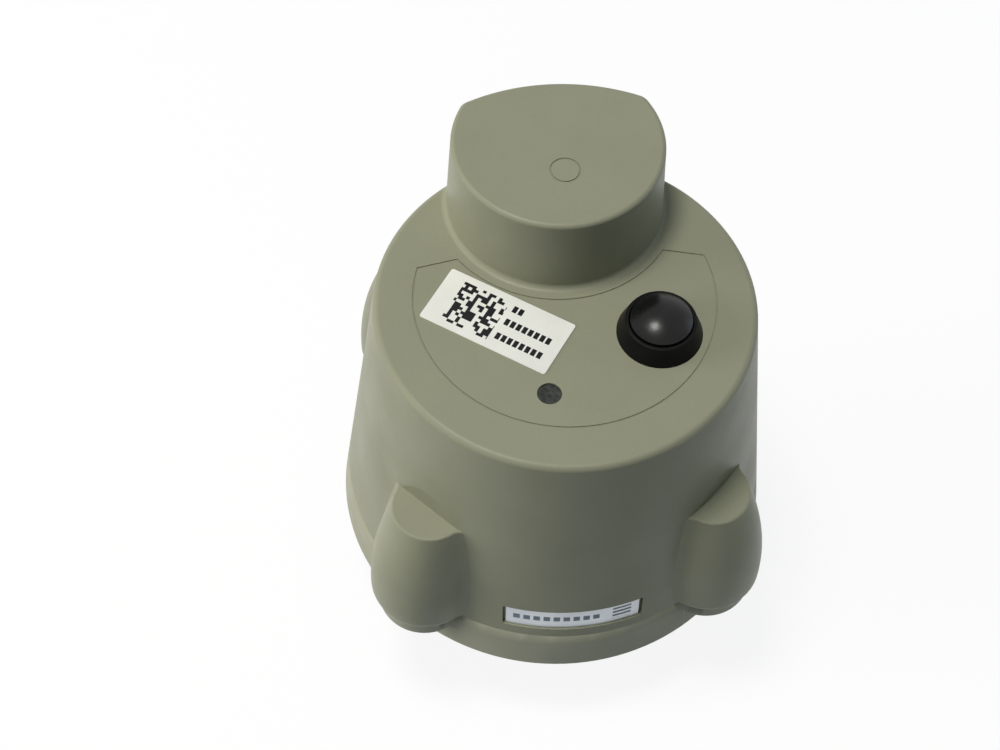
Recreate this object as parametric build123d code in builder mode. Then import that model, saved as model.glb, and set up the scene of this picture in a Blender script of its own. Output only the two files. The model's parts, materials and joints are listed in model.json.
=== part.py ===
from build123d import *
import os
from math import cos, radians, sin, sqrt

os.makedirs("parts", exist_ok=True)

# All sizes are millimetres, and the front of the sensor, with the name strip, faces -Y.
# Heights are measured from the underside of the flange, which seats on the tank. Each finished
# piece is then raised by the spigot's length, so that the sensor stands on Z 0.

# Tapered body
flange_radius = 49.4
crown_radius = 40.6
crown_height = 72.5
crown_thickness = 3.0
seam_height = 11.8
wall = 2.6
rim_round = 1.4
foot_round = 0.5
cavity_round = 3.0

# Screw lobes, four round the body, each a flared form cut off level at its top
lobe_count = 4
lobe_angle = 45.0
lobe_top = 43.0
lobe_waist = 30.0
lobe_foot_inset = 4.4
lobe_waist_inset = 4.9
lobe_top_inset = 6.4
lobe_foot_radius = 12.2
lobe_waist_radius = 11.0
lobe_top_radius = 8.3
lobe_blend = 3.5
lobe_root_depth = 0.2
lobe_root_angle = 25.0
lobe_top_round = 0.5
lobe_foot_round = 1.6
lobe_flat_depth = 0.7
base_lobe_inset = 4.1
base_lobe_radius = 10.5
base_lobe_foot = 6.0
base_lobe_round = 0.8

# Antenna hump over the back of the crown
hump_height = 20.0
hump_centre_inset = 13.0
hump_foot_radius = 23.7
hump_top_radius = 22.7
hump_back_outset = 3.2
hump_corner = 3.2
hump_edge_round = 0.9
hump_root_round = 1.2
hump_column_drop = 28.5
ring_mark_radius = 3.3
ring_mark_x = 0.7
ring_mark_setback = 7.9

# Fine lines cut into the crown
groove_width = 0.4
groove_depth = 0.25
panel_radius = 32.3
panel_centre = 1.4
panel_shoulder = 11.0
panel_shoulder_rise = 1.9
panel_gap = 2.8

# Base plate and its threaded spigot
floor_thickness = 4.6
lip_height = 5.6
lip_wall = 3.2
lip_clearance = 0.15
spigot_radius = 23.9
spigot_length = 22.0
spigot_relief = 1.2
spigot_chamfer = 1.4
collar_height = 11.0
collar_radius = 26.5
horn_bore_radius = 19.5
horn_ledge_radius = 17.9
horn_ledge_height = 1.6
pocket_inset = 6.8
pocket_width = 7.6
pocket_depth = 2.0
pocket_count = 8
pocket_rib = 2.4

# Seals
seal_section = 2.0
seal_squeeze = 0.3
seal_fit = 0.03
seal_rise = 2.9
seat_gasket_width = 6.9
seat_gasket_thickness = 3.0
seat_gasket_groove = 2.0
seat_gasket_fit = 0.2

# Cover screws, driven from below
screw_inset = 0.4
screw_radius = 2.0
screw_head_radius = 3.7
screw_head_height = 2.4
screw_length = 16.0
screw_depth = 3.0
screw_clearance = 0.25
screw_recess_clearance = 0.5
pilot_clearance = 0.03
recess_share = 0.62
recess_width = 0.9
recess_depth = 1.1
head_round = 0.5
pilot_extra = 2.0

# Name strip on the front wall
strip_width = 31.0
strip_low = 14.6
strip_high = 21.2
strip_depth = 0.9
strip_thickness = 0.45
strip_end_gap = 0.7
strip_edge_gap = 0.12
strip_bond_gap = 0.05

# Identity label on the crown
label_length = 29.7
label_width = 14.1
label_thickness = 0.15
label_x = -14.7
label_setback = 31.3
label_turn = -33.0
label_corner = 0.5

# Window for the light
window_x = -5.4
window_y = -22.3
window_radius = 2.5
window_flange_radius = 3.8
window_flange_height = 1.0
window_fit = 0.08
window_sink = 0.35

# Sealed push button
button_x = 18.9
button_y = -8.5
bezel_foot_radius = 9.1
bezel_top_radius = 7.5
bezel_height = 4.4
bezel_lip_round = 0.35
bezel_barrel_radius = 6.0
bezel_barrel_length = 11.0
bezel_fit = 0.1
bezel_well_radius = 6.85
bezel_well_floor = 0.8
bezel_bore_radius = 4.4
button_travel = 1.8
button_stop_gap = 0.3
cap_gap = 0.3
cap_side_top = 4.9
cap_dome_rise = 2.3
cap_edge_round = 0.3
stem_gap = 0.08
stem_length = 6.6
stem_neck_radius = 1.6
contact_gap = 0.3
spring_wire = 0.5
spring_radius = 3.6
spring_turns = 3.5
spring_seat_gap = 0.05
switch_radius = 6.0
switch_plug_fit = 0.05
terminal_hole_fit = 0.15
contact_radius = 2.4
contact_thickness = 0.5
switch_height = 5.4
switch_plug_length = 1.2
terminal_spacing = 3.2
terminal_width = 1.2
terminal_thickness = 0.5
nut_flats = 16.0
nut_height = 2.8
nut_fit = 0.05
washer_radius = 8.4
washer_thickness = 0.8

# Circuit board, hung under the crown on three posts
board_drop = 18.9
board_inset = 4.0
board_thickness = 1.6
board_back_flat = 33.5
post_inset = 9.0
post_radius = 3.2
post_angles = (18.0, 162.0, 286.0)
board_screw_radius = 1.25
board_screw_length = 8.0
board_screw_head_radius = 2.4
board_screw_head_height = 1.6
board_hole_clearance = 0.2
pin_radius = 0.35
pin_tail = 1.4

# Light behind the window
lamp_radius = 2.45
lamp_height = 8.6
lamp_flange_radius = 2.9
lamp_flange_height = 1.0
lamp_gap = 0.5
lamp_tip_flat = 0.1
lamp_lead_spacing = 2.54
lamp_lead_width = 0.5

# Parts on the board
antenna_width = 27.0
antenna_thickness = 1.0
antenna_clearance = 2.6
antenna_setback = 1.6
antenna_tab_width = 6.0
antenna_slot_fit = 0.1
antenna_corner = 2.0
radio_length = 18.0
radio_width = 15.0
radio_height = 2.6
radio_inset = 23.6
radio_setback = 12.5
chip_size = 9.0
chip_height = 1.2
chip_x = 9.0
chip_y = 9.0
capacitor_radius = 3.15
capacitor_height = 7.0
capacitor_spacing = 8.0
capacitor_x = -22.0
capacitor_y = -10.0
capacitor_round = 0.5
chip_round = 0.3
radio_corner = 0.8

# Lithium cell in clips under the board
cell_radius = 8.5
cell_length = 44.0
cell_button_radius = 3.2
cell_button_height = 1.5
cell_edge_round = 0.8
cell_y = 9.0
cell_drop = 1.2
clip_thickness = 0.6
clip_width = 8.0
clip_inset = 5.0
clip_opening = 60.0
clip_foot_width = 6.0
clip_gap = 0.05

# Ultrasonic transducer and its horn in the spigot
horn_gap = 0.15
horn_flange_radius = 25.5
horn_flange_thickness = 2.2
horn_mouth_radius = 17.0
horn_throat_radius = 7.6
horn_throat_height = 12.5
horn_ledge = 1.4
horn_pocket_radius = 11.2
horn_sleeve_radius = 13.4
horn_core_radius = 17.3
horn_core_height = 15.5
horn_screw_count = 3
horn_screw_ring_radius = 22.9
horn_screw_radius = 1.25
horn_screw_length = 7.0
horn_screw_head_radius = 2.2
horn_screw_head_height = 1.5
can_radius = 9.0
can_height = 11.0
can_wall = 0.8
damper_lip = 1.0
damper_fit = 0.05
damper_height = 10.5
piezo_radius = 6.5
piezo_thickness = 0.6
potting_height = 6.5
transducer_pin_spacing = 5.0
transducer_pin_height = 4.0

# Lead from the transducer to the board
lead_radius = 0.7
lead_core_spacing = 1.6
lead_straight = 9.0
lead_bend = 6.0
plug_length = 6.0
plug_width = 4.5
plug_height = 5.0
plug_corner = 0.4
plug_x = 4.0
plug_y = -12.0


def shell_radius(height):
    """Outer radius of the tapered wall at a height."""
    return flange_radius - (flange_radius - crown_radius) * height / crown_height


def polar(radius, angle):
    """A point in plan from a radius and an angle from +X."""
    return (radius * cos(radians(angle)), radius * sin(radians(angle)))


standing_place = (0, 0, spigot_length)
base_lobe_centre = flange_radius - base_lobe_inset
screw_ring_radius = flange_radius - screw_inset
post_ring_radius = crown_radius - post_inset
board_radius = crown_radius - board_inset
hump_back_radius = crown_radius + hump_back_outset
hump_centre = crown_radius - hump_centre_inset
hump_column_foot = crown_height - hump_column_drop
ring_mark_y = hump_centre - ring_mark_setback
antenna_y = hump_centre - antenna_setback
label_y = hump_centre - label_setback
pocket_outer_radius = flange_radius - pocket_inset
pocket_inner_radius = pocket_outer_radius - pocket_width
crown_under = crown_height - crown_thickness
hump_top = crown_height + hump_height
board_top = crown_height - board_drop
board_bottom = board_top - board_thickness
register_radius = shell_radius(seam_height) - wall
lip_radius = register_radius - lip_clearance
lip_top = seam_height + lip_height
bezel_bottom = crown_height - bezel_barrel_length
button_place = (button_x, button_y)
window_place = (window_x, window_y)
screw_seat = base_lobe_foot + screw_depth
screw_tip = screw_seat + screw_length


# Plan of the antenna hump at a height, drawn in from the outside by an inset.
def hump_plan(height, inset):
    drop = (hump_top - height) / hump_height
    front_radius = hump_top_radius + (hump_foot_radius - hump_top_radius) * drop - inset
    back_radius = hump_back_radius - inset
    corner_y = (back_radius**2 - front_radius**2 + hump_centre**2) / (2 * hump_centre)
    corner_x = sqrt(back_radius**2 - corner_y**2)
    with BuildSketch(Plane.XY.offset(height)) as plan:
        with BuildLine():
            ThreePointArc((-corner_x, corner_y), (0, hump_centre - front_radius), (corner_x, corner_y))
            ThreePointArc((corner_x, corner_y), (0, back_radius), (-corner_x, corner_y))
        make_face()
        fillet(plan.vertices(), hump_corner - inset / 2)
    return plan


# Plan of a screw lobe at a height, at azimuth zero, with the blends that run out into the wall.
# Its root lies just inside the wall's face, so that the two cross cleanly.
def lobe_plan(height, inset, radius):
    root_radius = shell_radius(height) - lobe_root_depth
    with BuildSketch(Plane.XY.offset(height)) as plan:
        Circle(root_radius)
        with Locations((flange_radius - inset, 0)):
            Circle(radius)
        joins = plan.vertices().sort_by(Axis.Y)
        fillet([joins[0], joins[-1]], lobe_blend)
        with Locations((root_radius * cos(radians(lobe_root_angle)), 0)):
            Rectangle(
                2 * flange_radius,
                2 * flange_radius,
                align=(Align.MIN, Align.CENTER),
                mode=Mode.INTERSECT,
            )
    return plan


# One screw lobe, before it joins the cover, and how far its top stands out of the wall.
lobe_reach = flange_radius - lobe_top_inset + lobe_top_radius - shell_radius(lobe_top)
lobe_foot_plan = lobe_plan(seam_height, lobe_foot_inset, lobe_foot_radius)
lobe_waist_plan = lobe_plan(lobe_waist, lobe_waist_inset, lobe_waist_radius)
lobe_top_plan = lobe_plan(lobe_top, lobe_top_inset, lobe_top_radius)
with BuildPart() as cover_lobe:
    add(lobe_foot_plan.sketch)
    add(lobe_waist_plan.sketch)
    add(lobe_top_plan.sketch)
    loft()
    lobe_foot_rim = cover_lobe.faces().sort_by(Axis.Z)[0].edges().sort_by(Axis.X)[-3:]
    fillet(lobe_foot_rim, min(lobe_foot_round, lobe_reach / 2))
    fillet(cover_lobe.edges().group_by(Axis.Z)[-1], lobe_top_round)

# The upright flat cut into the wall above a lobe.
with BuildPart() as lobe_flat:
    with Locations((shell_radius(lobe_top) - lobe_flat_depth, 0, lobe_top)):
        Box(
            2 * lobe_top_radius,
            3 * lobe_top_radius,
            lobe_top_radius,
            align=(Align.MIN, Align.CENTER, Align.MIN),
        )

# Outer form of the hump, with the column that runs down the back wall.
hump_foot_plan = hump_plan(hump_column_foot, 0)
hump_top_plan = hump_plan(hump_top, 0)
with BuildPart() as hump_form:
    add(hump_foot_plan.sketch)
    add(hump_top_plan.sketch)
    loft()
    fillet(hump_form.faces().sort_by(Axis.Z)[-1].edges(), hump_edge_round)

# Hollow of the hump, open to the cavity below it.
hollow_foot_plan = hump_plan(crown_under - wall, wall)
hollow_top_plan = hump_plan(hump_top - crown_thickness, wall)
with BuildPart() as hump_hollow:
    add(hollow_foot_plan.sketch)
    add(hollow_top_plan.sketch)
    loft()

# Outline of the fascia line on the crown, from shoulder to shoulder round the front.
shoulder_low = panel_shoulder
shoulder_high = panel_shoulder + panel_shoulder_rise
panel_inner_radius = hump_foot_radius + panel_gap
shoulder_outer_x = sqrt(panel_radius**2 - (shoulder_low - panel_centre) ** 2)
shoulder_inner_x = sqrt(panel_inner_radius**2 - (hump_centre - shoulder_high) ** 2)
with BuildSketch(Plane.XY.offset(crown_height)) as panel_line:
    with BuildLine():
        ThreePointArc(
            (-shoulder_outer_x, shoulder_low),
            (0, panel_centre - panel_radius),
            (shoulder_outer_x, shoulder_low),
        )
        Line((shoulder_outer_x, shoulder_low), (shoulder_inner_x, shoulder_high))
        ThreePointArc(
            (shoulder_inner_x, shoulder_high),
            (0, hump_centre - panel_inner_radius),
            (-shoulder_inner_x, shoulder_high),
        )
        Line((-shoulder_inner_x, shoulder_high), (-shoulder_outer_x, shoulder_low))
    make_face()
    offset(amount=-groove_width, mode=Mode.SUBTRACT)

# A band of the tapered wall across the front, between two depths and two heights.
def wall_band(low, high, width, outer, inner):
    with BuildPart() as band:
        with BuildSketch(Plane.XZ):
            with BuildLine():
                Polyline(
                    (shell_radius(low) - inner, low),
                    (shell_radius(low) - outer, low),
                    (shell_radius(high) - outer, high),
                    (shell_radius(high) - inner, high),
                    close=True,
                )
            make_face()
        revolve(axis=Axis.Z)
        with Locations((0, -flange_radius / 2, (low + high) / 2)):
            Box(width, flange_radius, 2 * (high - low), mode=Mode.INTERSECT)
    return band


strip_recess = wall_band(strip_low, strip_high, strip_width, -1, strip_depth)

# Cover: tapered shell with lobes, hump, fascia line, posts and openings, moulded in one.
with BuildPart() as cover:
    with BuildSketch(Plane.XZ) as wall_profile:
        with BuildLine():
            Polyline(
                (0, seam_height),
                (shell_radius(seam_height), seam_height),
                (crown_radius, crown_height),
                (0, crown_height),
                close=True,
            )
        make_face()
        fillet(wall_profile.vertices().group_by(Axis.Y)[-1].sort_by(Axis.X)[-1], rim_round)
    revolve(axis=Axis.Z)
    add(hump_form.part)
    crown_rims = cover.edges().filter_by_position(Axis.Z, crown_height - groove_depth, crown_height + groove_depth)
    fillet(crown_rims.sort_by(SortBy.LENGTH)[0], hump_root_round)
    with PolarLocations(0, lobe_count, start_angle=lobe_angle):
        add(cover_lobe.part)
    with PolarLocations(0, lobe_count, start_angle=lobe_angle):
        add(lobe_flat.part, mode=Mode.SUBTRACT)
    with BuildSketch(Plane.XZ) as cavity_profile:
        with BuildLine():
            Polyline(
                (0, seam_height),
                (register_radius, seam_height),
                (register_radius, lip_top + lip_clearance),
                (shell_radius(lip_top) - wall - lip_clearance, lip_top + lip_clearance),
                (shell_radius(crown_under) - wall, crown_under),
                (0, crown_under),
                close=True,
            )
        make_face()
        fillet(cavity_profile.vertices().group_by(Axis.Y)[-1].sort_by(Axis.X)[-1], cavity_round)
    revolve(axis=Axis.Z, mode=Mode.SUBTRACT)
    add(hump_hollow.part, mode=Mode.SUBTRACT)
    # Posts for the board
    with BuildSketch(Plane.XY.offset(board_top)):
        for angle in post_angles:
            with Locations(polar(post_ring_radius, angle)):
                Circle(post_radius)
    extrude(amount=crown_under - board_top + crown_thickness / 2)
    with BuildSketch(Plane.XY.offset(board_top)):
        for angle in post_angles:
            with Locations(polar(post_ring_radius, angle)):
                Circle(board_screw_radius + pilot_clearance)
    extrude(amount=board_screw_length, mode=Mode.SUBTRACT)
    # Pilot holes for the cover screws
    with BuildSketch(Plane.XY.offset(seam_height)):
        with PolarLocations(screw_ring_radius, lobe_count, start_angle=lobe_angle):
            Circle(screw_radius + pilot_clearance)
    extrude(amount=screw_tip - seam_height + pilot_extra, mode=Mode.SUBTRACT)
    # Button and window openings
    with BuildSketch(Plane.XY.offset(crown_height)):
        with Locations(button_place):
            Circle(bezel_barrel_radius + bezel_fit)
        with Locations(window_place):
            Circle(window_radius + window_fit)
    extrude(amount=-crown_thickness, mode=Mode.SUBTRACT)
    # Fine lines on the crown and on the hump
    add(panel_line.sketch)
    extrude(amount=-groove_depth, mode=Mode.SUBTRACT)
    with BuildSketch(Plane.XY.offset(hump_top)):
        with Locations((ring_mark_x, ring_mark_y)):
            Circle(ring_mark_radius)
            Circle(ring_mark_radius - groove_width, mode=Mode.SUBTRACT)
    extrude(amount=-groove_depth, mode=Mode.SUBTRACT)
    # Recess for the name strip, cut to the curve of the wall
    add(strip_recess.part, mode=Mode.SUBTRACT)
cover.part.position = standing_place
cover.part.label = "cover"
export_step(cover.part, "parts/cover.step")

# Name strip, curved to the wall and bonded in its recess.
name_strip = wall_band(
    strip_low + strip_edge_gap,
    strip_high - strip_edge_gap,
    strip_width - 2 * strip_end_gap,
    strip_depth - strip_thickness,
    strip_depth - strip_bond_gap,
)
name_strip.part.position = standing_place
name_strip.part.label = "name_strip"
export_step(name_strip.part, "parts/name_strip.step")

# Base plate: floor, skirt, register lip, transducer collar, ears and threaded spigot.
spigot_end = -spigot_length
collar_top = collar_height
gasket_inner_radius = spigot_radius + seat_gasket_fit
gasket_outer_radius = gasket_inner_radius + seat_gasket_width
relief_height = seat_gasket_thickness
with BuildPart() as base_ear:
    with BuildSketch(Plane.XY.offset(base_lobe_foot)):
        with Locations((base_lobe_centre, 0)):
            Circle(base_lobe_radius)
    extrude(amount=seam_height - base_lobe_foot)
    fillet(base_ear.edges().group_by(Axis.Z)[0], base_lobe_round)

with BuildPart() as base_plate:
    with BuildSketch(Plane.XZ):
        with BuildLine():
            Polyline(
                (0, 0),
                (flange_radius, 0),
                (shell_radius(seam_height), seam_height),
                (0, seam_height),
                close=True,
            )
        make_face()
    revolve(axis=Axis.Z)
    fillet(base_plate.edges().group_by(Axis.Z)[0], foot_round)
    # Ears under the lobes of the cover
    with PolarLocations(0, lobe_count, start_angle=lobe_angle):
        add(base_ear.part)
    # Register lip that enters the cover
    with BuildSketch(Plane.XY):
        Circle(lip_radius)
    extrude(amount=lip_top)
    # Inside of the skirt and lip
    with BuildSketch(Plane.XY.offset(floor_thickness)):
        Circle(lip_radius - lip_wall)
    extrude(amount=lip_top - floor_thickness, mode=Mode.SUBTRACT)
    # Collar above the floor and spigot below it
    with BuildSketch(Plane.XY):
        Circle(collar_radius)
    extrude(amount=collar_top)
    with BuildSketch(Plane.XZ):
        with BuildLine():
            Polyline(
                (0, 0),
                (spigot_radius - spigot_relief, 0),
                (spigot_radius - spigot_relief, -relief_height),
                (spigot_radius, -relief_height - spigot_relief),
                (spigot_radius, spigot_end + spigot_chamfer),
                (spigot_radius - spigot_chamfer, spigot_end),
                (0, spigot_end),
                close=True,
            )
        make_face()
    revolve(axis=Axis.Z)
    # Bore for the horn, with a ledge at its mouth
    with BuildSketch(Plane.XY.offset(spigot_end)):
        Circle(horn_ledge_radius)
    extrude(amount=spigot_length + collar_top, mode=Mode.SUBTRACT)
    with BuildSketch(Plane.XY.offset(spigot_end + horn_ledge_height)):
        Circle(horn_bore_radius)
    extrude(amount=spigot_length + collar_top, mode=Mode.SUBTRACT)
    # Groove for the seat gasket
    with BuildSketch(Plane.XY):
        Circle(gasket_outer_radius + seat_gasket_fit)
        Circle(spigot_radius - spigot_relief, mode=Mode.SUBTRACT)
    extrude(amount=seat_gasket_groove, mode=Mode.SUBTRACT)
    # Lightening pockets in the underside, between radial ribs
    with BuildSketch(Plane.XY):
        Circle(pocket_outer_radius)
        Circle(pocket_inner_radius, mode=Mode.SUBTRACT)
        with PolarLocations(0, pocket_count, start_angle=lobe_angle / 2):
            Rectangle(2 * flange_radius, pocket_rib, mode=Mode.SUBTRACT)
    extrude(amount=pocket_depth, mode=Mode.SUBTRACT)
    # Groove round the lip for the cover seal
    with BuildSketch(Plane.XY.offset(seam_height + seal_rise - seal_section / 2 - seal_squeeze)):
        Circle(lip_radius + lip_clearance)
        Circle(register_radius - seal_section + seal_squeeze, mode=Mode.SUBTRACT)
    extrude(amount=seal_section + 2 * seal_squeeze, mode=Mode.SUBTRACT)
    # Screw holes, with the heads sunk from below
    with BuildSketch(Plane.XY):
        with PolarLocations(screw_ring_radius, lobe_count, start_angle=lobe_angle):
            Circle(screw_radius + screw_clearance)
    extrude(amount=seam_height, mode=Mode.SUBTRACT)
    with BuildSketch(Plane.XY):
        with PolarLocations(screw_ring_radius, lobe_count, start_angle=lobe_angle):
            Circle(screw_head_radius + screw_recess_clearance)
    extrude(amount=screw_seat, mode=Mode.SUBTRACT)
    # Pilot holes for the horn screws in the collar
    with BuildSketch(Plane.XY.offset(collar_top)):
        with PolarLocations(horn_screw_ring_radius, horn_screw_count):
            Circle(horn_screw_radius + pilot_clearance)
    extrude(amount=-horn_screw_length, mode=Mode.SUBTRACT)
base_plate.part.position = standing_place
base_plate.part.label = "base_plate"
export_step(base_plate.part, "parts/base_plate.step")


# A round seal squeezed between a bore and the groove that holds it.
def ring_seal(bore_radius, height):
    thickness = seal_section - seal_squeeze - 2 * seal_fit
    with BuildPart() as ring:
        with BuildSketch(Plane.XZ):
            with Locations((bore_radius - seal_fit - thickness / 2, height)):
                Circle(thickness / 2)
        revolve(axis=Axis.Z)
    return ring


cover_seal = ring_seal(register_radius, seam_height + seal_rise)
cover_seal.part.position = standing_place
cover_seal.part.label = "cover_seal"
export_step(cover_seal.part, "parts/cover_seal.step")

# Flat gasket under the flange, round the spigot.
with BuildPart() as seat_gasket:
    with BuildSketch(Plane.XY.offset(seat_gasket_groove)):
        Circle(gasket_outer_radius)
        Circle(gasket_inner_radius, mode=Mode.SUBTRACT)
    extrude(amount=-seat_gasket_thickness)
seat_gasket.part.position = standing_place
seat_gasket.part.label = "seat_gasket"
export_step(seat_gasket.part, "parts/seat_gasket.step")


# Pan-head screws with cross recesses, seated at one height and driven up or down.
def screw_group(places, seat, way, length, shank_radius, head_radius, head_height):
    head_end = seat - way * head_height
    with BuildPart() as group:
        with BuildSketch(Plane.XY.offset(seat)):
            with Locations(*places):
                Circle(head_radius)
        extrude(amount=-way * head_height)
        head_rims = group.edges().group_by(Axis.Z)
        fillet(head_rims[0] if way > 0 else head_rims[-1], head_round)
        with BuildSketch(Plane.XY.offset(seat)):
            with Locations(*places):
                Circle(shank_radius)
        extrude(amount=way * length)
        with BuildSketch(Plane.XY.offset(head_end)):
            with Locations(*places):
                Rectangle(2 * recess_share * head_radius, recess_width)
                Rectangle(recess_width, 2 * recess_share * head_radius)
        extrude(amount=way * recess_depth, mode=Mode.SUBTRACT)
    return group


def ring_places(radius, count, start):
    """Points spaced evenly round a circle."""
    return [polar(radius, start + 360 * step / count) for step in range(count)]


cover_screw_places = ring_places(screw_ring_radius, lobe_count, lobe_angle)
cover_screws = screw_group(
    cover_screw_places, screw_seat, 1, screw_length, screw_radius, screw_head_radius, screw_head_height
)
cover_screws.part.position = standing_place
cover_screws.part.label = "cover_screws"
export_step(cover_screws.part, "parts/cover_screws.step")

# Horn: mouth cone, transducer pocket and mounting flange, moulded in one.
mouth_height = spigot_end + horn_ledge_height
throat_height = spigot_end + horn_throat_height
pocket_floor = throat_height + horn_ledge
core_floor = spigot_end + horn_core_height
horn_top = collar_top + horn_flange_thickness
horn_body_radius = horn_bore_radius - horn_gap
horn_seal_height = (throat_height + core_floor) / 2 - seal_section
with BuildPart() as horn:
    with BuildSketch(Plane.XZ):
        with BuildLine():
            Polyline(
                (horn_mouth_radius, mouth_height + horn_gap),
                (horn_throat_radius, throat_height),
                (horn_throat_radius, pocket_floor),
                (horn_pocket_radius, pocket_floor),
                (horn_pocket_radius, horn_top),
                (horn_sleeve_radius, horn_top),
                (horn_sleeve_radius, core_floor),
                (horn_core_radius, core_floor),
                (horn_core_radius, horn_top),
                (horn_flange_radius, horn_top),
                (horn_flange_radius, collar_top),
                (horn_body_radius, collar_top),
                (horn_body_radius, mouth_height + horn_gap),
                close=True,
            )
        make_face()
    revolve(axis=Axis.Z)
    with BuildSketch(Plane.XY.offset(horn_seal_height - seal_section / 2 - seal_squeeze)):
        Circle(horn_bore_radius)
        Circle(horn_bore_radius - seal_section + seal_squeeze, mode=Mode.SUBTRACT)
    extrude(amount=seal_section + 2 * seal_squeeze, mode=Mode.SUBTRACT)
    with BuildSketch(Plane.XY.offset(collar_top)):
        with PolarLocations(horn_screw_ring_radius, horn_screw_count):
            Circle(horn_screw_radius + board_hole_clearance)
    extrude(amount=horn_flange_thickness, mode=Mode.SUBTRACT)
horn.part.position = standing_place
horn.part.label = "horn"
export_step(horn.part, "parts/horn.step")

horn_seal = ring_seal(horn_bore_radius, horn_seal_height)
horn_seal.part.position = standing_place
horn_seal.part.label = "horn_seal"
export_step(horn_seal.part, "parts/horn_seal.step")

horn_screws = screw_group(
    ring_places(horn_screw_ring_radius, horn_screw_count, 0),
    horn_top,
    -1,
    horn_screw_length,
    horn_screw_radius,
    horn_screw_head_radius,
    horn_screw_head_height,
)
horn_screws.part.position = standing_place
horn_screws.part.label = "horn_screws"
export_step(horn_screws.part, "parts/horn_screws.step")

# Soft sleeve that carries the transducer in the horn's pocket.
can_foot = pocket_floor + damper_lip
with BuildPart() as transducer_damper:
    with BuildSketch(Plane.XZ):
        with BuildLine():
            Polyline(
                (horn_throat_radius, pocket_floor),
                (horn_pocket_radius - damper_fit, pocket_floor),
                (horn_pocket_radius - damper_fit, pocket_floor + damper_height),
                (can_radius, pocket_floor + damper_height),
                (can_radius, can_foot),
                (horn_throat_radius, can_foot),
                close=True,
            )
        make_face()
    revolve(axis=Axis.Z)
transducer_damper.part.position = standing_place
transducer_damper.part.label = "transducer_damper"
export_step(transducer_damper.part, "parts/transducer_damper.step")

# Transducer: metal can facing down, ceramic disc, potting and two pins.
can_inner_radius = can_radius - damper_fit - can_wall
piezo_foot = can_foot + can_wall
potting_foot = piezo_foot + piezo_thickness
potting_top = potting_foot + potting_height
with BuildPart() as transducer_can:
    with BuildSketch(Plane.XY.offset(can_foot)):
        Circle(can_radius - damper_fit)
    extrude(amount=can_height)
    with BuildSketch(Plane.XY.offset(piezo_foot)):
        Circle(can_inner_radius)
    extrude(amount=can_height, mode=Mode.SUBTRACT)
transducer_can.part.position = standing_place
transducer_can.part.label = "transducer_can"
export_step(transducer_can.part, "parts/transducer_can.step")

with BuildPart() as piezo_disc:
    with BuildSketch(Plane.XY.offset(piezo_foot)):
        Circle(piezo_radius)
    extrude(amount=piezo_thickness)
piezo_disc.part.position = standing_place
piezo_disc.part.label = "piezo_disc"
export_step(piezo_disc.part, "parts/piezo_disc.step")

pin_places = [(-transducer_pin_spacing / 2, 0), (transducer_pin_spacing / 2, 0)]
with BuildPart() as transducer_potting:
    with BuildSketch(Plane.XY.offset(potting_foot)):
        Circle(can_inner_radius - damper_fit)
    extrude(amount=potting_height)
    with BuildSketch(Plane.XY.offset(potting_foot)):
        with Locations(*pin_places):
            Circle(pin_radius + pilot_clearance)
    extrude(amount=potting_height, mode=Mode.SUBTRACT)
transducer_potting.part.position = standing_place
transducer_potting.part.label = "transducer_potting"
export_step(transducer_potting.part, "parts/transducer_potting.step")

with BuildPart() as transducer_pins:
    with BuildSketch(Plane.XY.offset(potting_foot)):
        with Locations(*pin_places):
            Circle(pin_radius)
    extrude(amount=potting_height + transducer_pin_height)
transducer_pins.part.position = standing_place
transducer_pins.part.label = "transducer_pins"
export_step(transducer_pins.part, "parts/transducer_pins.step")

# Plug under the board and the two-core lead that runs up to it from the pins.
lead_foot = potting_top + transducer_pin_height
plug_foot = board_bottom - plug_height
with BuildPart() as lead_plug:
    with BuildSketch(Plane.XY.offset(board_bottom)):
        with Locations((plug_x, plug_y)):
            RectangleRounded(plug_length, plug_width, plug_corner)
    extrude(amount=-plug_height)
lead_plug.part.position = standing_place
lead_plug.part.label = "lead_plug"
export_step(lead_plug.part, "parts/lead_plug.step")

with BuildPart() as transducer_lead:
    for side in (-1, 1):
        pin_x = side * transducer_pin_spacing / 2
        end_x = plug_x + side * lead_core_spacing / 2
        with BuildLine() as core_route:
            FilletPolyline(
                (pin_x, 0, lead_foot),
                (pin_x, 0, lead_foot + lead_straight),
                (end_x, plug_y, plug_foot - lead_straight),
                (end_x, plug_y, plug_foot),
                radius=lead_bend,
            )
        with BuildSketch(Plane(origin=core_route.line @ 0, z_dir=core_route.line % 0)):
            Circle(lead_radius)
        sweep(path=core_route.line)
transducer_lead.part.position = standing_place
transducer_lead.part.label = "transducer_lead"
export_step(transducer_lead.part, "parts/transducer_lead.step")

# Identity label, laid flat on the crown.
with BuildPart() as id_label:
    with BuildSketch(Plane.XY.offset(crown_height)):
        with Locations((label_x, label_y)):
            RectangleRounded(label_length, label_width, label_corner, rotation=label_turn)
    extrude(amount=label_thickness)
id_label.part.position = standing_place
id_label.part.label = "id_label"
export_step(id_label.part, "parts/id_label.step")

# Window in the crown, flanged below, and the lamp that stands under it.
lamp_top = crown_under - window_flange_height - lamp_gap
lamp_foot = lamp_top - lamp_height
with BuildPart() as window_lens:
    with BuildSketch(Plane.XY.offset(crown_under)):
        with Locations(window_place):
            Circle(window_flange_radius)
    extrude(amount=-window_flange_height)
    with BuildSketch(Plane.XY.offset(crown_under)):
        with Locations(window_place):
            Circle(window_radius)
    extrude(amount=crown_thickness - window_sink)
window_lens.part.position = standing_place
window_lens.part.label = "window_lens"
export_step(window_lens.part, "parts/window_lens.step")

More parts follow.
